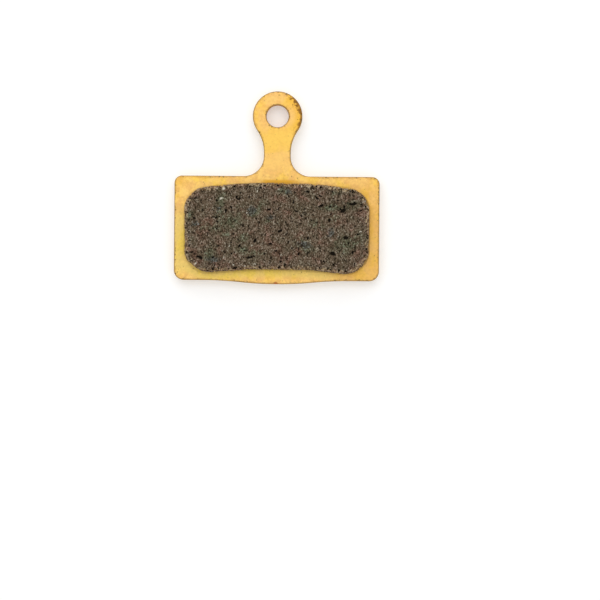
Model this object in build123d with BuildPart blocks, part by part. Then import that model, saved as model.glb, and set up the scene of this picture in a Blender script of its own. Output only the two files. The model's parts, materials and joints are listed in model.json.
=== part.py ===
from build123d import *
import os
from math import asin, atan2, degrees, hypot

# Bicycle disc brake pad: a stamped steel backing plate with a pin eye, a sintered friction block that
# is keyed into two holes of the plate, and a heat barrier coat sprayed on the back of the plate.
#
# Millimetres. The pad lies on its back: +Z comes out of the friction face and +Y points to the pin eye.
# The origin is the middle of the plate's body on the coated back face, where the piston presses.

# Backing plate, its body
plate_thickness = 1.8
body_width = 36.0
body_height = 18.3
top_corner_radius = 1.3
foot_corner_radius = 1.7
crown_length = 26.0
crown_height = 0.65
front_edge_radius = 0.2
back_edge_break = 0.12

# Backing plate, the neck and the eye that hangs on the pad pin
pin_hole_diameter = 3.9
pin_height = 10.55
eye_diameter = 8.7
neck_width = 4.7
neck_straight = 0.6
shoulder_radius = 3.5

# Friction block, whose upper and lower edges are curved like the rim of the rotor
friction_thickness = 2.05
rotor_radius = 101.5
side_margin = 1.85
top_margin = 1.25
foot_margin = 1.9
friction_top_radius = 4.1
friction_foot_radius = 4.2
friction_edge_break = 0.15

# Keys of friction compound in the plate's two holes
key_diameter = 4.7
key_pitch = 17.5
key_recess = 0.6

# Heat barrier coat
coat_thickness = 0.15
coat_edge_break = 0.08

# Levels of the stack, from the surface that the pad lies on
back_level = coat_thickness
front_level = back_level + plate_thickness

# Places in the plan
body_top = body_height / 2
body_foot = -body_height / 2
eye_height = body_top + pin_height
key_places = Locations((-key_pitch / 2, 0), (key_pitch / 2, 0))

# The plate's outline is drawn as its right half, from the top of the eye round to the foot, and mirrored
with BuildSketch() as plate_outline:
    with BuildLine():
        eye_radius = eye_diameter / 2
        neck_half = neck_width / 2
        neck_top = body_top + shoulder_radius + neck_straight

        # The blend arc touches the eye's circle and runs down into the straight of the neck
        drop = eye_height - neck_top
        blend_radius = (drop**2 - eye_radius**2 + neck_half**2) / (2 * (eye_radius - neck_half))
        blend_angle = degrees(atan2(drop, neck_half + blend_radius))
        eye_arc = CenterArc((0, eye_height), eye_radius, 90, -90 - blend_angle)
        blend_arc = CenterArc(
            (neck_half + blend_radius, neck_top), blend_radius, 180 - blend_angle, blend_angle
        )

        shoulder_arc = CenterArc(
            (neck_half + shoulder_radius, body_top + shoulder_radius), shoulder_radius, 180, 90
        )
        Line(blend_arc @ 1, shoulder_arc @ 0)

        top_corner = CenterArc(
            (body_width / 2 - top_corner_radius, body_top - top_corner_radius), top_corner_radius, 90, -90
        )
        Line(shoulder_arc @ 1, top_corner @ 0)

        foot_corner = CenterArc(
            (body_width / 2 - foot_corner_radius, body_foot + foot_corner_radius), foot_corner_radius, 0, -90
        )
        Line(top_corner @ 1, foot_corner @ 0)

        # The foot bows out in the middle: an S of two equal arcs leaves the straight and ends level
        crown_half = crown_length / 2
        crown_radius = hypot(crown_half, crown_height) ** 2 / (4 * crown_height)
        crown_angle = degrees(asin(crown_half / (2 * crown_radius)))
        leaving_arc = CenterArc((crown_half, body_foot - crown_radius), crown_radius, 90, crown_angle)
        Line(foot_corner @ 1, leaving_arc @ 0)
        CenterArc((0, body_foot - crown_height + crown_radius), crown_radius, crown_angle - 90, -crown_angle)

        mirror(about=Plane.YZ)
    make_face()

# The friction outline is a crescent between two rotor rims, one below the other, cut off at both sides
with BuildSketch() as friction_outline:
    friction_top = body_top - top_margin
    friction_foot = body_foot + foot_margin
    with Locations((0, friction_top - rotor_radius)):
        Circle(rotor_radius)
    with Locations((0, friction_foot - rotor_radius)):
        Circle(rotor_radius, mode=Mode.SUBTRACT)
    with Locations((0, friction_top)):
        Rectangle(body_width - 2 * side_margin, 2 * body_height, mode=Mode.INTERSECT)
    fillet(friction_outline.vertices().group_by(Axis.Y)[-1], friction_top_radius)
    fillet(friction_outline.vertices().group_by(Axis.Y)[0], friction_foot_radius)

# Backing plate: blanked from sheet, with rolled edges at the front and broken edges at the back
with BuildPart() as backing_plate:
    with BuildSketch(Plane.XY.offset(back_level)):
        add(plate_outline.sketch)
        with Locations((0, eye_height)):
            Circle(pin_hole_diameter / 2, mode=Mode.SUBTRACT)
    extrude(amount=plate_thickness)
    front_edges = backing_plate.faces().sort_by(Axis.Z)[-1].edges()
    fillet(front_edges, front_edge_radius)
    back_edges = backing_plate.faces().sort_by(Axis.Z)[0].edges()
    chamfer(back_edges, back_edge_break)
    with BuildSketch(Plane.XY.offset(back_level)):
        with key_places:
            Circle(key_diameter / 2)
    extrude(amount=plate_thickness, mode=Mode.SUBTRACT)
backing_plate.part.label = "backing_plate"

# Friction block: pressed and sintered onto the plate, with two keys that fill the holes almost to the back
with BuildPart() as friction_block:
    with BuildSketch(Plane.XY.offset(front_level)):
        add(friction_outline.sketch)
    extrude(amount=friction_thickness)
    ground_edges = friction_block.faces().sort_by(Axis.Z)[-1].edges()
    chamfer(ground_edges, friction_edge_break)
    with BuildSketch(Plane.XY.offset(key_recess)):
        with key_places:
            Circle(key_diameter / 2)
    extrude(amount=front_level - key_recess)
friction_block.part.label = "friction_block"

# Heat barrier coat: sprayed on the flat of the back, clear of the broken edges and of the holes' rims
with BuildPart() as heat_barrier_coat:
    with BuildSketch() as coat_outline:
        add(plate_outline.sketch)
        offset(amount=-back_edge_break)
        with Locations((0, eye_height)):
            Circle(pin_hole_diameter / 2 + back_edge_break, mode=Mode.SUBTRACT)
        with key_places:
            Circle(key_diameter / 2 + back_edge_break, mode=Mode.SUBTRACT)
    extrude(amount=coat_thickness)
    rim = heat_barrier_coat.faces().sort_by(Axis.Z)[0].outer_wire().edges()
    chamfer(rim, coat_edge_break)
heat_barrier_coat.part.label = "heat_barrier_coat"

os.makedirs("parts", exist_ok=True)
for piece in (backing_plate, friction_block, heat_barrier_coat):
    export_step(piece.part, f"parts/{piece.part.label}.step")
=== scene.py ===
import json
import math

import bmesh
import bpy
import numpy as np
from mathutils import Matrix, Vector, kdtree, noise
from mathutils.geometry import delaunay_2d_cdt


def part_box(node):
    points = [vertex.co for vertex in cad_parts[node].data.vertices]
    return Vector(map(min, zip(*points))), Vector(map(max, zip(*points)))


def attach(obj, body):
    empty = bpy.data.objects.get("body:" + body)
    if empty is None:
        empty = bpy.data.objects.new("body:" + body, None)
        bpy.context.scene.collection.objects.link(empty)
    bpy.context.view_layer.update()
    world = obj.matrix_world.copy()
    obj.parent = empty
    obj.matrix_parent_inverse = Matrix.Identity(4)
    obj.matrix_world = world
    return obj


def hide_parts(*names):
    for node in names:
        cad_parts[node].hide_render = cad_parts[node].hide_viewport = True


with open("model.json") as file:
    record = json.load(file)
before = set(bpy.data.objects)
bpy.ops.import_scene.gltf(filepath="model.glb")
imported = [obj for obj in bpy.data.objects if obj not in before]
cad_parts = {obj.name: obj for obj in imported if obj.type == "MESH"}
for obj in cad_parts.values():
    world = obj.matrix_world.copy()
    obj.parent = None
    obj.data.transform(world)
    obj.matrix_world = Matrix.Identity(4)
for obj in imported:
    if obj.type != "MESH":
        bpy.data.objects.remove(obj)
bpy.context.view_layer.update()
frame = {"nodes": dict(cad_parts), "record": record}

scene = bpy.context.scene
mm = 0.001


# Backing plate: the steel carrier that slides in the caliper and hangs on a pin by its eye. It is blanked
# from sheet, which rolls its front edge and leaves its sides smooth near the front and torn towards the back,
# and then plated, brassy on the cut sides and gold on the face, which the heat of sintering has clouded.

def wall_loops(node, height, spacing):
    """The closed lines in which a node's upright walls cross a height, with the facets rounded out to curves.
    The outer line comes first and runs anticlockwise, and holes run clockwise: material lies to the left."""
    weld_distance = 0.0001 * mm
    cut = bmesh.new()
    cut.from_mesh(frame["nodes"][node].data)
    bmesh.ops.remove_doubles(cut, verts=cut.verts, dist=weld_distance)
    whole = cut.verts[:] + cut.edges[:] + cut.faces[:]
    crossing = bmesh.ops.bisect_plane(cut, geom=whole, plane_co=(0, 0, height), plane_no=(0, 0, 1))
    beside = {}
    for edge in crossing["geom_cut"]:
        if isinstance(edge, bmesh.types.BMEdge):
            for corner in edge.verts:
                beside.setdefault(corner, []).append(edge.other_vert(corner))
    loops = []
    while beside:
        walk = [next(iter(beside))]
        while onward := [corner for corner in beside.pop(walk[-1]) if corner in beside]:
            walk.append(onward[0])
        corners = np.array([corner.co.xy for corner in walk])
        loops.append(np.clip(rounded_out(corners, spacing), corners.min(0), corners.max(0)))
    cut.free()
    loops.sort(key=lambda loop: -abs(loop_area(loop)))
    return [loop if (loop_area(loop) > 0) == (i == 0) else loop[::-1] for i, loop in enumerate(loops)]


def loop_area(loop):
    """The area inside a loop, below 0 where it runs clockwise."""
    ahead = np.roll(loop, -1, 0)
    return 0.5 * np.sum(loop[:, 0] * ahead[:, 1] - loop[:, 1] * ahead[:, 0])


def rounded_out(corners, spacing):
    """A smooth closed curve through the corners of a faceted one, with points about a spacing apart."""
    arriving = corners - np.roll(corners, 1, 0)
    leaving = np.roll(corners, -1, 0) - corners
    turn = np.abs(arriving[:, 0] * leaving[:, 1] - arriving[:, 1] * leaving[:, 0])
    least_turn = 0.004
    corners = corners[turn > least_turn * np.linalg.norm(arriving, axis=1) * np.linalg.norm(leaving, axis=1)]
    ahead = np.roll(corners, -1, 0)
    heading = ahead - np.roll(corners, 1, 0)
    heading /= np.linalg.norm(heading, axis=1)[:, None]
    stretches = []
    for start, end, out, into in zip(corners, ahead, heading, np.roll(heading, -1, 0)):
        length = np.linalg.norm(end - start)
        count = math.ceil(length / spacing)
        t = (np.arange(count) / count)[:, None]
        stretches.append(
            (2 * t**3 - 3 * t**2 + 1) * start + (t**3 - 2 * t**2 + t) * length * out
            + (3 * t**2 - 2 * t**3) * end + (t**3 - t**2) * length * into
        )
    return np.concatenate(stretches)


def drawn_in(loop, depth):
    """A loop moved into its material by a depth, which is one number or one for each point."""
    along = np.roll(loop, -1, 0) - np.roll(loop, 1, 0)
    along /= np.linalg.norm(along, axis=1)[:, None]
    inward = np.column_stack([-along[:, 1], along[:, 0]])
    return loop + inward * np.broadcast_to(depth, len(loop))[:, None]


def lumps(points, size, stretch=(1, 1, 1), shift=0.0):
    """Smooth noise from -1 to 1 at each point, with lumps of about a size."""
    spots = points / size * np.array(stretch) + shift
    return np.array([noise.noise(spot) for spot in spots.tolist()])


def distance_to(loops, plan):
    """The distance in the plan from each point to the nearest of some loops."""
    every = np.concatenate(loops)
    tree = kdtree.KDTree(len(every))
    for i, (x, y) in enumerate(every.tolist()):
        tree.insert((x, y, 0), i)
    tree.balance()
    return np.array([tree.find((x, y, 0))[2] for x, y in plan.tolist()])


def lattice(loop, pitch):
    """Points of a triangular lattice over the rectangle that a loop fills."""
    low = loop.min(0)
    high = loop.max(0)
    row_height = pitch * math.sqrt(0.75)
    rows = math.ceil((high[1] - low[1]) / row_height)
    columns = math.ceil((high[0] - low[0]) / pitch)
    row, column = np.mgrid[0:rows + 1, 0:columns + 1]
    x = low[0] + (column + 0.5 * (row % 2)) * pitch
    y = low[1] + row * row_height
    return np.column_stack([x.ravel(), y.ravel()])


class Shell:
    """A closed mesh in the making: its points and its faces."""

    def __init__(self):
        self.points = np.empty((0, 3))
        self.faces = []

    def ring(self, plan, height):
        """Adds a ring of points, at one height or at one for each, and gives their numbers."""
        first = len(self.points)
        heights = np.broadcast_to(height, len(plan))
        self.points = np.vstack([self.points, np.column_stack([plan, heights])])
        return np.arange(first, len(self.points))

    def band(self, rings):
        """Joins each ring to the next."""
        for near, far in zip(rings, rings[1:]):
            self.faces += np.column_stack([near, np.roll(near, -1), np.roll(far, -1), far]).tolist()

    def sheet(self, rings, inner, height, upwards):
        """Fills the first ring, apart from the holes that the others make, by way of some inner points, and
        gives the numbers of those it used."""
        rim = np.concatenate(rings)
        plan = np.vstack([self.points[rim, :2], inner])
        borders = []
        start = 0
        for i, ring in enumerate(rings):
            border = list(range(start, start + len(ring)))
            borders.append(border if i == 0 else border[::-1])
            start += len(ring)
        spots = [tuple(spot) for spot in (plan / mm).tolist()]
        inside_borders = 1
        least_gap = 1e-6
        cut_up = delaunay_2d_cdt(spots, [], borders, inside_borders, least_gap)
        _, _, triangles, sources, _, owners = cut_up
        filled = [
            [sources[k][0] for k in triangle] for triangle, owner in zip(triangles, owners) if owner == [0]
        ]
        used = sorted({k for triangle in filled for k in triangle if k >= len(rim)})
        added = self.ring(plan[used], height)
        number = dict(zip(used, added.tolist()))
        number.update(enumerate(rim.tolist()))
        turn = 1 if upwards else -1
        self.faces += [[number[k] for k in triangle][::turn] for triangle in filled]
        return added

    def piece(self, name, material, **values):
        """Makes the object. The values are numbers for each point, which the material can read by name."""
        mesh = bpy.data.meshes.new(name)
        mesh.from_pydata(self.points.tolist(), [], self.faces)
        for label, numbers in values.items():
            carried = mesh.attributes.new(label, "FLOAT", "POINT")
            carried.data.foreach_set("value", np.asarray(numbers, np.float32))
        mesh.shade_smooth()
        mesh.materials.append(material)
        made = bpy.data.objects.new(name, mesh)
        scene.collection.objects.link(made)
        return made


class Finish:
    """A material made of nodes. Most methods add one node and give its output; places are in millimetres."""

    def __init__(self, name):
        self.material = bpy.data.materials.new(name)
        self.material.use_nodes = True
        self.tree = self.material.node_tree
        self.shader = self.tree.nodes["Principled BSDF"]
        place = self.node("ShaderNodeTexCoord", {}).outputs["Object"]
        self.place = self.stretched(place, (1 / mm, 1 / mm, 1 / mm))
        self.x, self.y, self.z = self.node("ShaderNodeSeparateXYZ", {"Vector": self.place}).outputs

    def node(self, kind, inputs, **settings):
        made = self.tree.nodes.new(kind)
        for name, value in settings.items():
            setattr(made, name, value)
        self.feed(made, inputs)
        return made

    def feed(self, node, inputs):
        """Links or sets the sockets of a node, each found by its name or its number."""
        for name, value in inputs.items():
            socket = node.inputs[name]
            if isinstance(value, bpy.types.NodeSocket):
                self.tree.links.new(value, socket)
            elif socket.type == "RGBA":
                socket.default_value = (*value, 1)
            else:
                socket.default_value = value

    def stretched(self, vector, factors):
        made = self.node("ShaderNodeVectorMath", {0: vector, 1: factors}, operation="MULTIPLY")
        return made.outputs["Vector"]

    def carried(self, name):
        """A value that the mesh carries at each point."""
        return self.node("ShaderNodeAttribute", {}, attribute_name=name).outputs["Fac"]

    def noise(self, scale, detail=2.0, roughness=0.5, stretch=(1, 1, 1)):
        place = self.stretched(self.place, stretch)
        inputs = {"Vector": place, "Scale": scale, "Detail": detail, "Roughness": roughness}
        return self.node("ShaderNodeTexNoise", inputs).outputs["Fac"]

    def cells(self, scale, stretch=(1, 1, 1)):
        """Distance from the nearest cell's middle, and a random number for that cell."""
        place = self.stretched(self.place, stretch)
        made = self.node("ShaderNodeTexVoronoi", {"Vector": place, "Scale": scale})
        number = self.node("ShaderNodeSeparateColor", {"Color": made.outputs["Color"]}).outputs[0]
        return made.outputs["Distance"], number

    def sums(self, operation, first, second=0.0, third=0.0):
        """One step of arithmetic on values."""
        inputs = {0: first, 1: second, 2: third}
        return self.node("ShaderNodeMath", inputs, operation=operation).outputs[0]

    def times(self, product, *factors):
        """The product of some values."""
        for factor in factors:
            product = self.sums("MULTIPLY", product, factor)
        return product

    def between(self, value, low, high):
        """0 where the value is at low, 1 where it is at high, smooth in between. Low may be the larger."""
        inputs = {"Value": value, "From Min": low, "From Max": high}
        return self.node("ShaderNodeMapRange", inputs, interpolation_type="SMOOTHSTEP").outputs["Result"]

    def scaled(self, value, low, high):
        """Low where the value is 0 and high where it is 1."""
        inputs = {"Value": value, "To Min": low, "To Max": high}
        return self.node("ShaderNodeMapRange", inputs).outputs["Result"]

    def ramp(self, value, *stops):
        """The colour for a value, from stops of a position and a colour. The two end stops come first."""
        made = self.node("ShaderNodeValToRGB", {"Fac": value})
        elements = made.color_ramp.elements
        for i, (position, colour) in enumerate(stops):
            element = elements[i] if i < 2 else elements.new(position)
            element.position = position
            element.color = (*colour, 1)
        return made.outputs["Color"]

    def blend(self, share, first, second, how="MIX"):
        """Two colours mixed, with that share of the second. The numbers are those of the colour sockets."""
        inputs = {0: share, 6: first, 7: second}
        return self.node("ShaderNodeMix", inputs, data_type="RGBA", blend_type=how).outputs[2]

    def shaded(self, colour, factor):
        """A colour made darker or lighter by a factor."""
        made = self.node("ShaderNodeVectorMath", {0: colour, "Scale": factor}, operation="SCALE")
        return made.outputs["Vector"]

    def swayed(self, base, value, amount):
        """A base that a value from 0 to 1 pushes down or up by as much as half an amount."""
        return self.sums("MULTIPLY_ADD", self.sums("SUBTRACT", value, 0.5), amount, base)

    def bump(self, height, depth):
        """The surface roughened by a height from 0 to 1 that is worth a depth."""
        inputs = {"Height": height, "Strength": 1.0, "Distance": depth}
        return self.node("ShaderNodeBump", inputs).outputs["Normal"]


plate_low, plate_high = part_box("backing_plate")
plate_middle = (plate_low.z + plate_high.z) / 2
plate_corners = np.array([corner.co for corner in frame["nodes"]["backing_plate"].data.vertices])
level_slack = 0.001 * mm
front_corners = plate_corners[plate_corners[:, 2] > plate_high.z - level_slack]
back_corners = plate_corners[plate_corners[:, 2] < plate_low.z + level_slack]
roll_radius = plate_high.x - front_corners[:, 0].max()
back_break = plate_high.x - back_corners[:, 0].max()
pin_eye = next(mount for mount in frame["record"]["mounts"] if mount["name"] == "pin_eye")
eye_x, eye_y, _ = (value / mm for value in pin_eye["pos_m"])
eye_radius = plate_high.y / mm - eye_y
half_width = plate_high.x / mm
body_foot = plate_low.y / mm
beyond_neck = 0.8 * plate_high.x
body_top = plate_corners[plate_corners[:, 0] > beyond_neck][:, 1].max() / mm
block_cut = plate_high.z + 0.5 * mm

plate_spacing = 0.16 * mm
face_pitch = 0.45 * mm
face_clear = 0.3 * mm
foot_depths = (0.15, 0, -0.15, -0.3)
wall_rows = 12
roll_rows = 6
flat_margin = 0.15 * mm
torn_share = 0.55
torn_waver = 0.25
torn_fade = 0.15
torn_depth = 0.05 * mm
waver_size = 0.5 * mm
tear_size = 0.22 * mm

plate_outline, *plate_holes = wall_loops("backing_plate", plate_middle, plate_spacing)
pin_hole = max(plate_holes, key=lambda loop: loop[:, 1].mean())
key_holes = [loop for loop in plate_holes if loop is not pin_hole]
block_outline = wall_loops("friction_block", block_cut, plate_spacing)[0]
no_points = np.empty((0, 2))

plate = Shell()
edge_share = []
torn_and_shaded = []


def cut_edge(loop):
    """Rings up a cut side of the plate, from the flat of its back over the wall to the flat of its front."""
    wall_foot = plate_low.z + back_break
    wall_head = plate_high.z - roll_radius
    rings = []

    def add(depth, height, edge, torn):
        rings.append(plate.ring(drawn_in(loop, depth), height))
        edge_share.extend(np.broadcast_to(edge, len(loop)))
        torn_and_shaded.extend(np.broadcast_to(torn, len(loop)))

    add(back_break + flat_margin, plate_low.z, 1, 0)
    add(back_break, plate_low.z, 1, 0)
    for share in np.linspace(0, 1, wall_rows):
        height = wall_foot + share * (wall_head - wall_foot)
        spots = np.column_stack([loop, np.full(len(loop), height)])
        waver = torn_waver * lumps(spots, waver_size)
        torn = np.clip((torn_share - share + waver) / torn_fade, 0, 1) * min(1, share * wall_rows / 2)
        tear = 0.5 + 0.5 * lumps(spots, tear_size, stretch=(1, 1, 0.35), shift=7.3)
        add(torn * tear * torn_depth, height, 1, torn)
    for angle in np.linspace(0, math.pi / 2, roll_rows + 1)[1:]:
        depth = roll_radius * (1 - math.cos(angle))
        height = wall_head + roll_radius * math.sin(angle)
        add(depth, height, math.cos(angle), 0)
    add(roll_radius + flat_margin, plate_high.z, 0, 0)
    return rings


plate_walls = [cut_edge(plate_outline), cut_edge(pin_hole)]
# The walls of the key holes count as wholly torn, so they are dark: partly the dull torn steel, partly
# painted shade of the recess
for loop in key_holes:
    plate_walls.append([plate.ring(loop, height) for height in (plate_low.z, plate_high.z)])
    edge_share += [1] * 2 * len(loop)
    torn_and_shaded += [1] * 2 * len(loop)
for rings in plate_walls:
    plate.band(rings)

# The points of the face lie closest along the foot of the block, where its tints change most
foot_rings = [drawn_in(block_outline, depth * mm) for depth in foot_depths]
face_points = lattice(plate_outline, face_pitch)
clear = distance_to([plate_outline, pin_hole, *key_holes], face_points) > face_clear + roll_radius
clear &= distance_to(foot_rings, face_points) > face_clear
face_points = np.vstack([face_points[clear], *foot_rings])
plate.sheet([rings[-1] for rings in plate_walls], face_points, plate_high.z, True)
plate.sheet([rings[0] for rings in plate_walls], no_points, plate_low.z, False)

face_count = len(plate.points) - len(edge_share)
edge_share += [0] * face_count
torn_and_shaded += [0] * face_count
from_block = distance_to([block_outline], plate.points[:, :2]) / mm
from_rim = distance_to([plate_outline, pin_hole], plate.points[:, :2]) / mm

gold = (0.888, 0.573, 0.162)
honey = (0.80, 0.465, 0.136)
lemon = (0.77, 0.56, 0.145)
bright_lemon = (0.79, 0.57, 0.149)
amber = (0.75, 0.43, 0.109)
yellow_tint = (1.0, 1.01, 0.71)
pale_tint = (1.0, 1.0, 1.08)
deep_orange = (0.70, 0.36, 0.03)
umber = (0.26, 0.16, 0.055)
rust = (0.46, 0.23, 0.055)
worn_yellow = (0.80, 0.45, 0.05)
scorched = (0.24, 0.095, 0.014)
charred = (0.085, 0.038, 0.01)
soot = (0.12, 0.085, 0.04)
burr_red = (0.40, 0.11, 0.03)
brass = (0.66, 0.43, 0.12)
copper = (0.66, 0.32, 0.05)
mist = (0.84, 0.74, 0.64)

plating = Finish("gold_plating")
edge = plating.carried("edge")
torn = plating.carried("torn")
rim_distance = plating.carried("from_rim")
block_distance = plating.carried("from_block")

# The face is clouded, and below the shoulders it is yellowest at the left and most orange at the right
clouds = plating.noise(0.28, detail=3, roughness=0.6)
lean = plating.sums("MULTIPLY_ADD", clouds, 1.2 * half_width, plating.x)
lean = plating.sums("SUBTRACT", lean, 0.6 * half_width)
left = plating.times(
    plating.between(lean, -0.25 * half_width, -0.9 * half_width),
    plating.between(plating.y, body_top - 4.0, body_top - 8.5),
    plating.between(plating.y, body_foot + 1.0, body_foot + 3.0),
)
right = plating.times(
    plating.between(lean, 0.35 * half_width, 0.95 * half_width),
    plating.between(plating.y, body_top + 0.5, body_top - 3.0),
)
around_eye = plating.between(plating.y, eye_y - 3.5, eye_y - 1.0)
on_neck = plating.times(
    plating.between(plating.y, eye_y - 1.0, eye_y - 3.0),
    plating.between(plating.y, body_top, body_top + 2.0),
)
at_foot = plating.times(
    plating.between(plating.y, body_foot + 4.0, body_foot + 2.5),
    plating.between(block_distance, 1.8, 0.7),
    plating.between(plating.x, 13.0, 7.0),
)
cloudy = plating.between(plating.noise(0.55, detail=4, roughness=0.6), 0.36, 0.62)
cloudy = plating.swayed(plating.scaled(on_neck, 0.5, 0.55), cloudy, plating.scaled(on_neck, 1.0, 0.3))
face = plating.blend(cloudy, honey, gold)
for part, strength, tone in (
    (around_eye, 0.45, honey), (left, 0.8, lemon), (right, 0.8, amber), (at_foot, 0.9, bright_lemon)
):
    face = plating.blend(plating.times(part, strength), face, tone)

# The neck is smoother than the rest, yellower towards the eye and paler towards the body. The left of the
# foot is paler too, and the face is yellower round the block's upper right corner
neck_foot = plating.between(plating.y, eye_y - 5.8, eye_y - 7.0)
faded = plating.times(
    plating.between(plating.x, -0.72 * half_width, -0.88 * half_width),
    plating.between(plating.y, body_foot + 5.0, body_foot + 3.0),
)
yellowed = plating.times(
    plating.between(plating.x, 0.5 * half_width, 0.67 * half_width),
    plating.between(plating.y, 3.0, 6.0),
    plating.between(block_distance, 1.3, 0.4),
)
paleness = plating.noise(0.4, detail=4, roughness=0.55, stretch=(1, 0.8, 3))
paleness = plating.swayed(0.5, paleness, plating.scaled(on_neck, 1.0, 0.4))
for part, change in ((on_neck, plating.scaled(neck_foot, -0.16, 0.03)), (faded, 0.12), (yellowed, -0.12)):
    paleness = plating.sums("MULTIPLY_ADD", part, change, paleness)
face = plating.blend(plating.between(paleness, 0.52, 0.36), face, yellow_tint, "MULTIPLY")
pale = plating.times(plating.between(paleness, 0.5, 0.64), plating.scaled(on_neck, 1.0, 0.2))
face = plating.blend(pale, face, pale_tint, "MULTIPLY")
mottle = plating.noise(2.2, detail=5, roughness=0.75)
mottle = plating.times(plating.swayed(0.0, mottle, 0.5), plating.scaled(on_neck, 1.0, 0.55))
face = plating.shaded(face, plating.sums("ADD", mottle, 1.0))

# It is a deeper orange where it runs up to the middle of the block's top and to the block's right side
under_neck = plating.times(
    plating.between(plating.x, -3.4, -1.6),
    plating.between(plating.x, 5.0, 1.8),
    plating.between(plating.y, 0.0, 1.0),
    plating.between(block_distance, 0.85, 0.4),
)
at_right = plating.times(
    plating.between(plating.x, 0.82 * half_width, 0.9 * half_width),
    plating.between(plating.y, -4.0, 4.0),
    plating.between(block_distance, 1.1, 0.3),
    plating.between(plating.noise(0.5, detail=3), 0.3, 0.55),
)
deepened = plating.sums("MAXIMUM", plating.times(under_neck, 0.9), plating.times(at_right, 0.4))
face = plating.blend(deepened, face, deep_orange)

# A thin dark line along the block's foot is painted contact shade, most at its right
painted_contact_shade = plating.scaled(plating.between(plating.x, 0.8 * half_width, 0.88 * half_width), 0.3, 0.75)
painted_contact_shade = plating.times(painted_contact_shade, plating.between(block_distance, 0.32, 0.05))
face = plating.blend(painted_contact_shade, face, umber)

# Small dark specks of two sizes, the smaller ones thickest at the left of the foot
peppered = plating.times(left, plating.between(plating.y, body_foot + 5.0, body_foot + 3.0))
few = plating.sums("MULTIPLY_ADD", peppered, -0.6, 0.84)
for scale, size, share, strength in ((1.1, 0.15, 0.75, 0.7), (2.6, 0.26, few, 0.5)):
    speck_distance, speck_number = plating.cells(scale, stretch=(1, 0.7, 1))
    specks = plating.sums("GREATER_THAN", speck_number, share)
    specks = plating.times(specks, plating.between(speck_distance, size, 0.4 * size), strength)
    face = plating.blend(specks, face, umber)

# The rim has browned in blotches, most along the top of the body
waver = plating.noise(1.3, detail=5, roughness=0.75)
blotches = plating.noise(0.9, detail=4, roughness=0.7, stretch=(1, 1, 2))
along_top = plating.times(
    plating.between(plating.y, body_top - 2.0, body_top - 1.0),
    plating.between(plating.y, body_top + 1.5, body_top),
)
blotch_width = plating.sums("ADD", plating.scaled(blotches, -0.6, 1.3), plating.scaled(along_top, 0.0, 0.15))
line_width = plating.scaled(waver, 0.0, 0.55)
for width, strength, tone in ((blotch_width, 0.6, rust), (line_width, 0.35, umber)):
    rim = plating.between(rim_distance, plating.sums("MAXIMUM", width, 0.12), 0.05)
    face = plating.blend(plating.times(rim, strength), face, tone)

# The pin and its clip have scuffed the eye's edge in ragged patches, from its right side over the upper
# right, where the gold around them has worn, to its top
beside_eye = plating.sums("SUBTRACT", plating.x, eye_x)
above_eye = plating.sums("SUBTRACT", plating.y, eye_y)
bearing = plating.sums("ARCTAN2", above_eye, beside_eye)
from_eye = plating.sums("MULTIPLY_ADD", beside_eye, beside_eye, plating.times(above_eye, above_eye))
from_eye = plating.sums("SQRT", from_eye)
inside_edge = plating.sums("SUBTRACT", eye_radius, from_eye)
on_eye = plating.between(inside_edge, -0.5, -0.2)
ragged = plating.swayed(0.5, plating.noise(2.0, detail=4, roughness=0.65), 1.8)
rising = plating.between(bearing, -0.1, 0.5)
falling = plating.between(bearing, 0.7, 1.1)
for part, change in ((inside_edge, -0.42), (rising, 0.1), (falling, -0.24)):
    ragged = plating.sums("MULTIPLY_ADD", part, change, ragged)
rubbed = plating.times(plating.between(bearing, -0.95, -0.45), plating.between(bearing, 2.1, 1.6), on_eye)
worn = plating.times(plating.between(inside_edge, 2.0, 0.6), plating.between(bearing, 1.2, 0.95), rubbed)
face = plating.blend(plating.times(worn, 0.8), face, worn_yellow)
for level, strength, burn in ((0.22, 0.8, scorched), (0.42, 0.5, charred)):
    scuff = plating.times(plating.between(ragged, level, level + 0.2), rubbed, strength)
    face = plating.blend(scuff, face, burn)
band = plating.times(plating.between(bearing, -0.65, -0.3), plating.between(bearing, 0.95, 0.5), on_eye)
band = plating.times(band, plating.between(inside_edge, 0.5, 0.2), 0.4)
face = plating.blend(band, face, scorched)

# The rolled edge is browner and ticked with soot, and a small red burr is left at the middle of the foot
rolled = plating.times(plating.between(edge, 0.05, 0.6), plating.between(waver, 0.2, 0.6), 0.55)
colour = plating.blend(rolled, face, umber)
tick_distance, tick_number = plating.cells(3.0)
ticks = plating.times(
    plating.between(tick_distance, 0.6, 0.3),
    plating.sums("GREATER_THAN", tick_number, 0.5),
    plating.between(rim_distance, 0.45, 0.2),
    plating.scaled(plating.between(blotches, 0.44, 0.54), 0.2, 1.1),
)
colour = plating.blend(plating.times(ticks, 0.8), colour, soot)
burr_place = (-0.1, body_foot + 0.15, plate_high.z / mm)
from_burr = plating.node("ShaderNodeVectorMath", {0: plating.place, 1: burr_place}, operation="DISTANCE")
burr = plating.between(from_burr.outputs["Value"], 0.4, 0.15)
colour = plating.blend(plating.times(burr, 0.85), colour, burr_red)

# The sides are brassy with fine upright lines, coppery in the pin hole, and dull where they are torn; the
# walls of the key holes are darkened the same way, partly as painted shade of their recesses
lines = plating.noise(5.0, detail=4, roughness=0.7, stretch=(1, 1, 0.08))
crystals = plating.noise(7.0, detail=3, roughness=0.7)
torn = plating.between(plating.swayed(torn, crystals, 1.4), 0.1, 0.9)
side = plating.blend(plating.between(from_eye, 0.8 * eye_radius, 0.6 * eye_radius), brass, copper)
side = plating.shaded(side, plating.scaled(lines, 0.6, 1.4))
side = plating.blend(torn, side, plating.shaded(side, plating.scaled(crystals, 0.3, 1.1)))
colour = plating.blend(plating.between(edge, 0.85, 1.0), colour, side)

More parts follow.
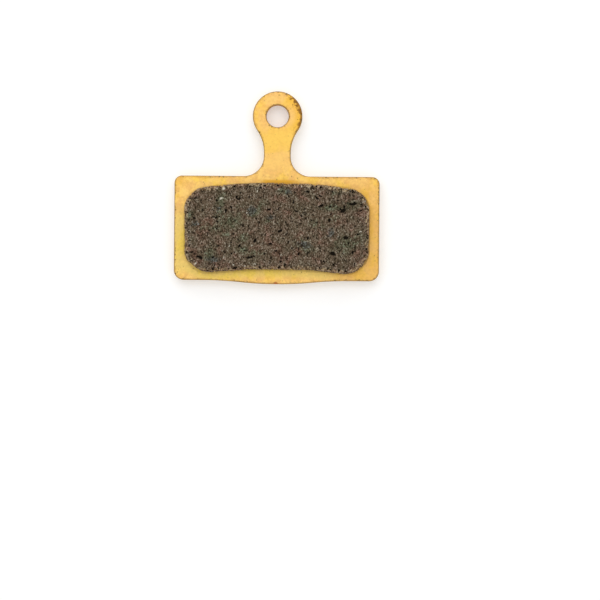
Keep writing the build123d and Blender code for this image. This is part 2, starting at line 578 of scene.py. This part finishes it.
# The spray of the coat has misted the broken edge of the back
misted = plating.times(
    plating.between(plating.z, (plate_low.z + back_break) / mm, plate_low.z / mm),
    plating.between(plating.noise(1.6, detail=4, roughness=0.7), 0.36, 0.5),
)
colour = plating.blend(plating.times(misted, 0.9), colour, mist)
grain = plating.noise(9.0, detail=3, roughness=0.7)
roughness = plating.sums("MULTIPLY_ADD", grain, 0.16, 0.36)
roughness = plating.sums("MULTIPLY_ADD", torn, 0.25, roughness)
plating.feed(plating.shader, {
    "Base Color": colour,
    "Metallic": plating.scaled(misted, 0.85, 0.0),
    "Roughness": roughness,
    "Normal": plating.bump(grain, 0.006 * mm),
})

backing_plate = plate.piece(
    "backing_plate_plated", plating.material, edge=edge_share, torn=torn_and_shaded, from_block=from_block,
    from_rim=from_rim,
)
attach(backing_plate, "root")
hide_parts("backing_plate")


# Friction block: metal powder, graphite and hard grains pressed and sintered onto the plate, then ground
# flat, which leaves fine streaks along Y. Its edges crumble and its face is open with pits. Two keys run
# through the plate's holes and stop short of the back, where the spray of the coat has greyed their ends.

block_low, block_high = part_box("friction_block")
block_spacing = 0.1 * mm
wall_step = 0.12 * mm
edge_break = 0.15 * mm
crumb_size = 0.28 * mm
scallop_size = 0.8 * mm
crumble_depth = 0.3 * mm
key_clear = 0.02 * mm
pebble_size = 0.45 * mm
pebble_height = 0.14 * mm

fine_outline = wall_loops("friction_block", block_cut, block_spacing)[0]
block_keys = wall_loops("friction_block", (block_low.z + plate_high.z) / 2, block_spacing)
block = Shell()

# Where its outline is worn back, or fuller for a depth below 0, listed: the middle, the reach and the depth
worn_places = [
    (-14.8, -6.9, 1.6, 0.3), (-12.6, -7.6, 1.2, 0.15), (16.1, 4.5, 0.9, 0.22), (16.15, -3.2, 0.8, 0.2),
    (15.7, -5.7, 0.8, 0.2), (-16.15, -2.4, 1.4, 0.1), (-10.0, -7.9, 1.5, 0.13), (-5.0, -7.4, 1.5, 0.1),
    (5.5, -7.4, 2.0, 0.13), (2.0, 7.9, 1.5, 0.1), (16.2, -1.0, 1.5, -0.22), (16.2, 2.9, 1.2, -0.22),
    (15.4, 5.7, 0.9, -0.22), (16.2, -4.6, 0.8, -0.22), (-15.9, -5.6, 0.7, -0.1), (-16.2, 4.1, 0.9, -0.15),
    (-5.0, 7.8, 2.5, -0.13), (12.0, 7.3, 1.4, 0.13),
]
worn_back = np.zeros(len(fine_outline))
for x, y, reach, depth in worn_places:
    away = np.hypot(fine_outline[:, 0] / mm - x, fine_outline[:, 1] / mm - y)
    worn_back += depth * mm * np.exp(-(away / reach) ** 2)

wall_head = block_high.z - edge_break
wall_rings = []
wall_count = round((wall_head - plate_high.z) / wall_step)
levels = [(0, height) for height in np.linspace(plate_high.z, wall_head, wall_count)]
levels += [(edge_break * share, wall_head + edge_break * share) for share in (0.5, 1)]
for depth, height in levels:
    spots = np.column_stack([fine_outline, np.full(len(fine_outline), height)])
    crumbs = 0.55 + 1.3 * lumps(spots, crumb_size) + 0.7 * lumps(spots, scallop_size, shift=3.1)
    crumbs = np.maximum(np.clip(crumbs, 0, 1.5) * crumble_depth + worn_back, 0)
    wall_rings.append(block.ring(drawn_in(fine_outline, depth + crumbs), height))
block.band(wall_rings)

top_points = lattice(fine_outline, block_spacing)
top_edge = block.points[wall_rings[-1], :2]
top_points = top_points[distance_to([top_edge], top_points) > 0.55 * block_spacing]
top = block.sheet([wall_rings[-1]], top_points, block_high.z, True)

key_outlines = [loop if loop_area(loop) > 0 else loop[::-1] for loop in block_keys]
under_rings = [wall_rings[0]]
key_ends = []
for loop in key_outlines:
    slim = drawn_in(loop, key_clear)
    head, foot = (block.ring(slim, height) for height in (plate_high.z, block_low.z))
    block.band([foot, head])
    under_rings.append(head[::-1])
    inner = lattice(slim, block_spacing)
    inner = inner[distance_to([slim], inner) > 0.5 * block_spacing]
    key_ends.append(np.concatenate([foot, block.sheet([foot], inner, block_low.z, False)]))
block.sheet(under_rings, no_points, plate_high.z, False)


def patches(spots, places, fade, ragged):
    """How far each point lies in any of some ragged ellipses: 1 inside, falling to 0 over a share of their
    size. A place is the middle, the length and the width, in millimetres, and the slant, in degrees."""
    ragged_size = 0.35
    waver_x = ragged * lumps(spots, ragged_size, shift=11.0)
    waver_y = ragged * lumps(spots, ragged_size, shift=23.0)
    share = np.zeros(len(spots))
    for x, y, length, width, slant in places:
        angle = math.radians(slant)
        away_x = spots[:, 0] - x + waver_x * min(1, length)
        away_y = spots[:, 1] - y + waver_y * min(1, length)
        u = (away_x * math.cos(angle) + away_y * math.sin(angle)) / (length / 2)
        v = (away_y * math.cos(angle) - away_x * math.sin(angle)) / (width / 2)
        share = np.maximum(share, np.clip((1 + fade / 2 - np.hypot(u, v)) / fade, 0, 1))
    return share


# The larger pits, the pale crumbs of metal, and the grains of slate grey and mossy green, listed one by one
large_pits = [
    (13.3, 4.3, 1.4, 0.5, 8), (11.6, 3.1, 1.0, 0.5, 35), (12.1, -1.6, 1.0, 0.5, 10),
    (14.2, -1.0, 0.5, 0.28, 20), (9.8, -4.4, 1.0, 0.5, -25), (0.6, -0.5, 0.8, 0.45, 30),
    (-4.7, -5.2, 1.0, 0.4, 15), (-13.4, -5.2, 1.1, 0.4, -25), (-6.9, 5.2, 1.0, 0.28, -55),
    (-8.9, 2.9, 0.6, 0.32, 70), (6.9, 5.4, 1.0, 0.32, -45), (7.7, 4.0, 1.0, 0.32, 15),
    (-1.4, 3.2, 0.6, 0.28, 0), (3.4, 2.9, 0.7, 0.24, -30), (5.5, -1.7, 0.6, 0.32, 60),
    (-0.1, -4.0, 0.5, 0.28, 15), (-3.8, -2.2, 0.9, 0.4, 80), (-11.1, -5.2, 0.5, 0.28, 40),
    (-14.8, -4.3, 0.6, 0.24, 20), (9.2, 1.4, 0.6, 0.24, 70), (5.4, 6.4, 0.6, 0.28, 0),
    (9.3, 3.8, 0.5, 0.28, 20), (10.0, 3.9, 0.3, 0.24, 0), (11.1, 3.4, 0.5, 0.28, -20),
    (13.6, 6.5, 1.1, 0.4, -22), (-14.2, 5.1, 0.5, 0.24, 30), (-14.3, 6.1, 0.6, 0.24, 50),
    (-8.0, 3.6, 0.5, 0.28, 0), (-7.2, -7.05, 0.8, 0.4, 0), (-10.2, -3.2, 0.5, 0.24, 20),
    (-6.5, -3.2, 0.5, 0.24, 60), (-1.1, -2.8, 0.5, 0.28, 10), (0.8, -5.8, 0.5, 0.28, 0),
    (-15.2, -3.2, 0.5, 0.24, 70), (-2.8, 7.0, 0.4, 0.24, 0), (15.9, 4.6, 0.6, 0.4, 60),
]
pale_crumbs = [
    (-10.4, 7.0, 0.5, 0.25, 60), (-9.3, 6.8, 0.5, 0.35, 40), (-9.7, 5.1, 0.6, 0.25, 30),
    (-3.4, 6.4, 0.4, 0.14, 80), (0.3, 6.8, 0.4, 0.14, 0), (4.3, 7.3, 0.4, 0.17, -60),
    (11.7, 6.8, 0.4, 0.14, -10), (12.7, 6.6, 0.3, 0.14, -15), (15.4, 4.8, 0.4, 0.17, 60),
    (14.7, -0.5, 0.3, 0.17, 0), (10.7, -1.4, 0.3, 0.14, 40), (0.8, -4.7, 0.3, 0.14, 70),
    (-5.2, 2.6, 0.3, 0.14, 20), (-4.3, -3.1, 0.3, 0.14, 80), (-8.2, -3.2, 0.3, 0.17, 60),
    (-9.2, -5.2, 0.4, 0.14, 80), (-14.1, -6.3, 0.4, 0.17, 50), (-3.7, -6.3, 0.4, 0.14, -50),
    (-7.5, -6.5, 0.3, 0.17, 0), (-5.5, -6.7, 0.3, 0.17, 0),
]
slate_places = [
    (-4.3, 3.1, 1.7, 1.2, 20), (4.9, -2.9, 2.4, 0.9, -12), (-1.1, 1.8, 1.3, 0.8, 0),
    (-11.0, -5.6, 2.4, 1.0, 0), (-10.1, 3.2, 1.2, 0.7, 30), (9.5, -0.9, 1.3, 1.0, 60),
    (-14.2, 0.7, 1.2, 0.9, 0), (2.0, 6.4, 0.8, 0.8, 0),
]
moss_places = [
    (-3.8, 3.0, 4.2, 1.5, 42), (-7.6, 1.2, 4.4, 2.2, 55), (-9.9, 3.7, 7.5, 1.4, 88),
    (-4.8, -4.1, 4.4, 1.5, -14), (5.0, -3.2, 3.2, 1.5, -25), (4.2, -2.2, 1.6, 0.8, -60),
    (13.0, 4.1, 2.6, 1.4, 20), (9.5, 3.6, 4.0, 1.0, 0), (7.0, 0.5, 2.2, 1.6, 0), (12.2, -2.7, 5.4, 2.8, 25),
    (1.1, 6.5, 1.8, 1.4, 0), (-11.4, -4.6, 3.0, 1.6, 50), (-15.4, 1.9, 2.0, 1.2, 70),
    (-6.0, -1.7, 2.4, 1.2, 20), (10.5, 6.0, 1.6, 1.0, 0), (-1.6, 1.4, 1.4, 0.9, 0),
    (-12.0, 0.0, 3.0, 1.4, 0), (-9.0, -1.1, 2.6, 1.0, 0), (10.2, 1.8, 1.6, 1.2, 0),
]

# The small pits, and the crumbs and notches along the edge, by chance. Their sizes are in millimetres
draw = np.random.default_rng(41)
small_pit_count = 200
small_pit_lengths = (0.3, 0.6)
small_pit_widths = (0.16, 0.3)
edge_crumb_count = 170
edge_notch_count = 45
block_left, block_foot = fine_outline.min(0) / mm
block_right, block_top = fine_outline.max(0) / mm
small_pits = [
    (
        draw.uniform(block_left, block_right),
        draw.uniform(block_foot, block_top),
        draw.uniform(*small_pit_lengths),
        draw.uniform(*small_pit_widths),
        draw.uniform(0, 180),
    )
    for _ in range(small_pit_count)
]


def along_edge(count, inward, longest):
    """Small ragged spots, scattered along the edge of the face within a distance of it."""
    shortest = 0.2
    scatter = drawn_in(top_edge, draw.uniform(0, inward, len(top_edge)) * mm)
    places = []
    for x, y in scatter[draw.integers(0, len(top_edge), count)] / mm:
        length = draw.uniform(shortest, longest)
        width = length * draw.uniform(0.5, 0.8)
        places.append((x, y, length, width, draw.uniform(0, 180)))
    return places


edge_crumbs = along_edge(edge_crumb_count, 0.22, 0.45)
edge_notches = along_edge(edge_notch_count, 0.15, 0.6)

# A felt of winding crests and grains, drawn out along Y by the grinding, more to the right, in millimetres
crest_size = 0.45
crest_width = 0.4
grain_size = 0.2
grain_depth = 0.06
pit_depth = 0.4
chip_depth = 0.18
edge_reach = 0.25
surface = np.concatenate([wall_rings[-1], top])
spots = block.points[surface] / mm
felt = spots.copy()
felt[:, 1] *= 0.85 - 0.35 * (spots[:, 0] - block_left) / (block_right - block_left)
crests = np.clip(1 - np.abs(lumps(felt, crest_size, shift=5.0)) / crest_width, 0, 1)
grains = np.clip(0.5 + 0.9 * lumps(felt, grain_size, shift=17.0), 0, 1)
felting = 0.35 * crests + 0.65 * grains
openness = np.clip(0.5 + 1.5 * lumps(spots, 0.3, shift=29.0), 0.3, 1)
pitting = np.maximum.reduce([
    patches(spots, large_pits, fade=0.5, ragged=0.2),
    patches(spots, small_pits, fade=0.7, ragged=0.2) * openness,
    patches(spots, edge_notches, fade=0.7, ragged=0.2),
])
# The edge of the face has crumbled away
from_edge = distance_to([top_edge], block.points[surface, :2]) / mm
chip_reach = 0.3 + 0.4 * (0.5 + 0.5 * lumps(spots, 0.7, shift=31.0))
chipped = np.clip(1 - from_edge / chip_reach, 0, 1)
sunk = grain_depth * (1 - felting) ** 1.4 + pit_depth * pitting + chip_depth * chipped**2 * (1 - grains)
block.points[surface, 2] -= np.minimum(sunk, pit_depth + grain_depth) * mm


def on_face(numbers, elsewhere=0.0):
    """Numbers for the points of the ground face, with one number for every other point."""
    whole = np.full(len(block.points), elsewhere)
    whole[surface] = numbers
    return whole


near_edge = on_face(np.clip(1 - from_edge / edge_reach, 0, 1))
for share, ring in zip(np.linspace(0.1, 0.7, len(wall_rings) - 1), wall_rings):
    near_edge[ring] = share
key_end = np.zeros(len(block.points))
for end in key_ends:
    key_end[end] = 1
    pebbles = 0.5 + 0.5 * lumps(block.points[end], pebble_size, shift=2.0)
    block.points[end, 2] += pebble_height * pebbles**2

# The darkest colour serves both the darkest grains and painted shade in the hollows and pits
dark_grain_and_pit_shade = (0.013, 0.009, 0.005)
peat = (0.0405, 0.027, 0.013)
brown = (0.119, 0.0815, 0.0503)
tan = (0.207, 0.156, 0.1085)
straw = (0.38, 0.32, 0.25)
edge_straw = (0.55, 0.44, 0.27)
pale_metal = (0.68, 0.63, 0.52)
rust_tint = (1.15, 0.93, 0.95)
edge_tint = (1.22, 1.0, 0.74)
moss_tint = (0.88, 1.03, 0.97)
deep_moss_tint = (0.80, 1.05, 0.96)
slate_tint = (0.66, 0.88, 1.1)
overspray = (0.72, 0.72, 0.71)

# Each grain has its own tone, darker in the hollows as painted shade, streaked by the grinding and paler
# along the edge
compound = Finish("sintered_compound")
nearness = compound.carried("near_edge")
_, grain_number = compound.cells(2.6, stretch=(1, 0.8, 1))
_, crumb_number = compound.cells(7.2, stretch=(1, 0.7, 1))
ground = compound.noise(1.0, detail=2, stretch=(5.0, 0.45, 1))
# Low relief darkens the tone: painted shade in the hollows of the felt
tone = compound.swayed(0.5, compound.carried("relief"), 0.45)
tone = compound.swayed(tone, crumb_number, compound.scaled(nearness, 0.78, 0.95))
tone = compound.swayed(tone, grain_number, compound.scaled(nearness, 0.12, 0.5))
tone = compound.swayed(tone, ground, 0.6)
tone = compound.sums("MULTIPLY_ADD", nearness, 0.32, tone)
colour = compound.ramp(tone, (0.0, dark_grain_and_pit_shade), (1.0, straw), (0.2, peat), (0.5, brown), (0.8, tan))

# It is rusty in some places, mossy or slate grey in others, and yellower along the edge
hue = compound.noise(0.45, detail=4, roughness=0.6)
rusty = compound.times(compound.between(hue, 0.5, 0.66), compound.sums("SUBTRACT", 1.0, nearness))
mossy = compound.times(compound.between(hue, 0.5, 0.34), 0.5)
mossiest = compound.times(compound.carried("moss"), compound.scaled(grain_number, 0.3, 1.4))
for share, tint in (
    (rusty, rust_tint), (mossy, moss_tint), (nearness, edge_tint), (mossiest, deep_moss_tint),
    (compound.carried("slate"), slate_tint),
):
    colour = compound.blend(share, colour, tint, "MULTIPLY")

# Pale flecks and crumbs are strewn over it, the pits are painted near black as painted shade, and spray has
# dusted the ends of the keys
fleck_distance, fleck_number = compound.cells(2.2)
flecks = compound.times(
    compound.between(fleck_distance, 0.32, 0.18),
    compound.sums("GREATER_THAN", fleck_number, compound.sums("MULTIPLY_ADD", nearness, -0.12, 0.93)),
    0.8,
)
crumbled = compound.times(compound.carried("crumb"), crumb_number)
pit_shade = compound.between(compound.carried("pit"), 0.1, 0.7)
sprayed = compound.between(compound.noise(0.8, detail=5, roughness=0.7), 0.36, 0.46)
sprayed = compound.times(compound.carried("key_end"), sprayed)
dusted = compound.shaded(overspray, compound.scaled(crumb_number, 0.6, 1.15))
for share, shade in (
    (flecks, straw), (crumbled, edge_straw), (pit_shade, dark_grain_and_pit_shade), (compound.carried("pale"), pale_metal),
    (sprayed, dusted),
):
    colour = compound.blend(share, colour, shade)
rough_height = compound.noise(6.0, detail=4, roughness=0.75)
compound.feed(compound.shader, {
    "Base Color": colour,
    "Metallic": 0.0,
    "Roughness": 0.85,
    "Specular IOR Level": 0.12,
    "Normal": compound.bump(rough_height, 0.03 * mm),
})

slate = patches(spots, slate_places, fade=0.9, ragged=0.5)
moss = patches(spots, moss_places, fade=1.2, ragged=0.5) * (1 - slate)
pale = patches(spots, pale_crumbs, fade=0.5, ragged=0.15)
crumb = patches(spots, edge_crumbs, fade=0.5, ragged=0.2)
friction_block = block.piece(
    "friction_block_sintered", compound.material, relief=on_face(felting, 0.5), pit=on_face(pitting),
    pale=on_face(pale), slate=on_face(slate), moss=on_face(moss), crumb=on_face(crumb), near_edge=near_edge,
    key_end=key_end,
)
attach(friction_block, "root")
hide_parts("friction_block")


# Heat barrier coat: a white ceramic paint sprayed on the back of the plate, where the piston presses. It ends
# short of the plate's rim and holes, has the pebbled skin of a dry spray, and is flecked with dark grains.

coat_low, coat_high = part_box("heat_barrier_coat")
coat_cut = coat_high.z - 0.03 * mm
coat_spacing = 0.2 * mm
coat_pitch = 0.35 * mm
coat_clear = 0.35 * mm
coat_waver = 0.03 * mm
coat_waver_size = 0.6 * mm
spray_taper = 0.08 * mm
skin_margin = 0.08 * mm
skin_pebble_size = 0.8 * mm
skin_pebble_depth = 0.018 * mm

coat_loops = wall_loops("heat_barrier_coat", coat_cut, coat_spacing)
coat_levels = (
    (spray_taper + skin_margin, coat_low.z),
    (spray_taper, coat_low.z),
    (0.3 * spray_taper, coat_low.z + 0.4 * spray_taper),
    (0, coat_low.z + spray_taper),
    (0, coat_high.z),
)
coat = Shell()
coat_walls = []
for loop in coat_loops:
    spots = np.column_stack([loop, np.zeros(len(loop))])
    waver = coat_waver * (0.5 + 0.5 * lumps(spots, coat_waver_size))
    coat_walls.append([coat.ring(drawn_in(loop, depth + waver), height) for depth, height in coat_levels])
    coat.band(coat_walls[-1])
coat_points = lattice(coat_loops[0], coat_pitch)
coat_points = coat_points[distance_to(coat_loops, coat_points) > coat_clear]
skin = coat.sheet([rings[0] for rings in coat_walls], coat_points, coat_low.z, False)
coat.sheet([rings[-1] for rings in coat_walls], no_points, coat_high.z, True)
coat.points[skin, 2] += skin_pebble_depth * (0.5 + 0.5 * lumps(coat.points[skin], skin_pebble_size))

chalk = (0.89, 0.89, 0.885)
warm_chalk = (0.87, 0.865, 0.855)
grey_fleck = (0.16, 0.16, 0.16)

paint = Finish("heat_barrier_paint")
clouding = paint.noise(0.5, detail=3)
colour = paint.blend(paint.between(clouding, 0.35, 0.7), chalk, warm_chalk)
for scale, size, share in ((0.9, 0.16, 0.5), (1.6, 0.2, 0.3)):
    fleck_distance, fleck_number = paint.cells(scale, stretch=(1, 0.7, 1))
    strength = paint.between(fleck_number, share, 1.2)
    flecks = paint.times(paint.between(fleck_distance, size, 0.4 * size), strength)
    colour = paint.blend(flecks, colour, grey_fleck)
pebbles = paint.noise(4.0, detail=3, roughness=0.6)
paint.feed(paint.shader, {
    "Base Color": colour,
    "Roughness": 0.75,
    "Specular IOR Level": 0.35,
    "Normal": paint.bump(pebbles, 0.03 * mm),
})

heat_barrier_coat = coat.piece("heat_barrier_coat_sprayed", paint.material)
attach(heat_barrier_coat, "root")
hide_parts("heat_barrier_coat")


# Floor and light: a white studio table under a white tent, with one large soft lamp behind the eye and a
# little to the left. What the camera sees of the table is lifted to white, and the pad's shadow stays on it.

floor_half = 3.0
floor_drop = 0.01 * mm
table_white = (0.9, 0.9, 0.9)
table_roughness = 0.9
table_gloss = 0.1
table_lift = 0.27
tent_level = 0.7
lamp_place = (-0.04, 0.31, 0.31)
lamp_size = 0.55
lamp_power = 0.77

floor_mesh = bpy.data.meshes.new("floor")
floor_corners = [
    (x * floor_half, y * floor_half, -floor_drop) for x, y in ((-1, -1), (1, -1), (1, 1), (-1, 1))
]
floor_mesh.from_pydata(floor_corners, [], [(0, 1, 2, 3)])
floor = bpy.data.objects.new("floor", floor_mesh)
scene.collection.objects.link(floor)


def seen_directly(tree):
    """1 for what the camera sees, straight or in a mirror or a glass, and 0 for light on other things."""
    path = tree.nodes.new("ShaderNodeLightPath")
    seen = path.outputs["Is Camera Ray"]
    for kind in ("Is Glossy Ray", "Is Transmission Ray"):
        either = tree.nodes.new("ShaderNodeMath")
        either.operation = "MAXIMUM"
        tree.links.new(seen, either.inputs[0])
        tree.links.new(path.outputs[kind], either.inputs[1])
        seen = either.outputs[0]
    return seen


table = bpy.data.materials.new("table_white")
table.use_nodes = True
table_tree = table.node_tree
table_shader = table_tree.nodes["Principled BSDF"]
table_shader.inputs["Base Color"].default_value = (*table_white, 1)
table_shader.inputs["Roughness"].default_value = table_roughness
table_shader.inputs["Specular IOR Level"].default_value = table_gloss
table_shader.inputs["Emission Color"].default_value = (1, 1, 1, 1)
lift = table_tree.nodes.new("ShaderNodeMath")
lift.operation = "MULTIPLY"
lift.inputs[1].default_value = table_lift
table_tree.links.new(seen_directly(table_tree), lift.inputs[0])
table_tree.links.new(lift.outputs[0], table_shader.inputs["Emission Strength"])
floor_mesh.materials.append(table)

tent = bpy.data.worlds.new("tent")
tent.use_nodes = True
tent_tree = tent.node_tree
tent_light = tent_tree.nodes["Background"]
tent_light.inputs["Color"].default_value = (1, 1, 1, 1)
level = tent_tree.nodes.new("ShaderNodeMapRange")
level.inputs["To Min"].default_value = tent_level
level.inputs["To Max"].default_value = 1.0
tent_tree.links.new(seen_directly(tent_tree), level.inputs["Value"])
tent_tree.links.new(level.outputs["Result"], tent_light.inputs["Strength"])
scene.world = tent

lamp_light = bpy.data.lights.new("soft_lamp", "AREA")
lamp_light.size = lamp_size
lamp_light.energy = lamp_power
lamp = bpy.data.objects.new("soft_lamp", lamp_light)
lamp.location = lamp_place
lamp.rotation_euler = (-lamp.location).to_track_quat("-Z", "Y").to_euler()
scene.collection.objects.link(lamp)


# Camera: straight above, far enough away to see hardly any of the sides. The pad lies above and left of the
# middle of the picture, turned a little clockwise in it.

picture_width = 105.25 * mm
aim_x = 4.19 * mm
aim_y = -12.53 * mm
pad_turn = math.radians(0.47)
camera_distance = 400 * mm

lens = bpy.data.cameras.new("camera")
lens.sensor_width = 36
lens.lens = lens.sensor_width * camera_distance / picture_width
camera = bpy.data.objects.new("camera", lens)
camera.location = (aim_x, aim_y, plate_high.z + camera_distance)
camera.rotation_euler = (0, 0, pad_turn)
scene.collection.objects.link(camera)
scene.camera = camera
scene.view_settings.view_transform = "Standard"
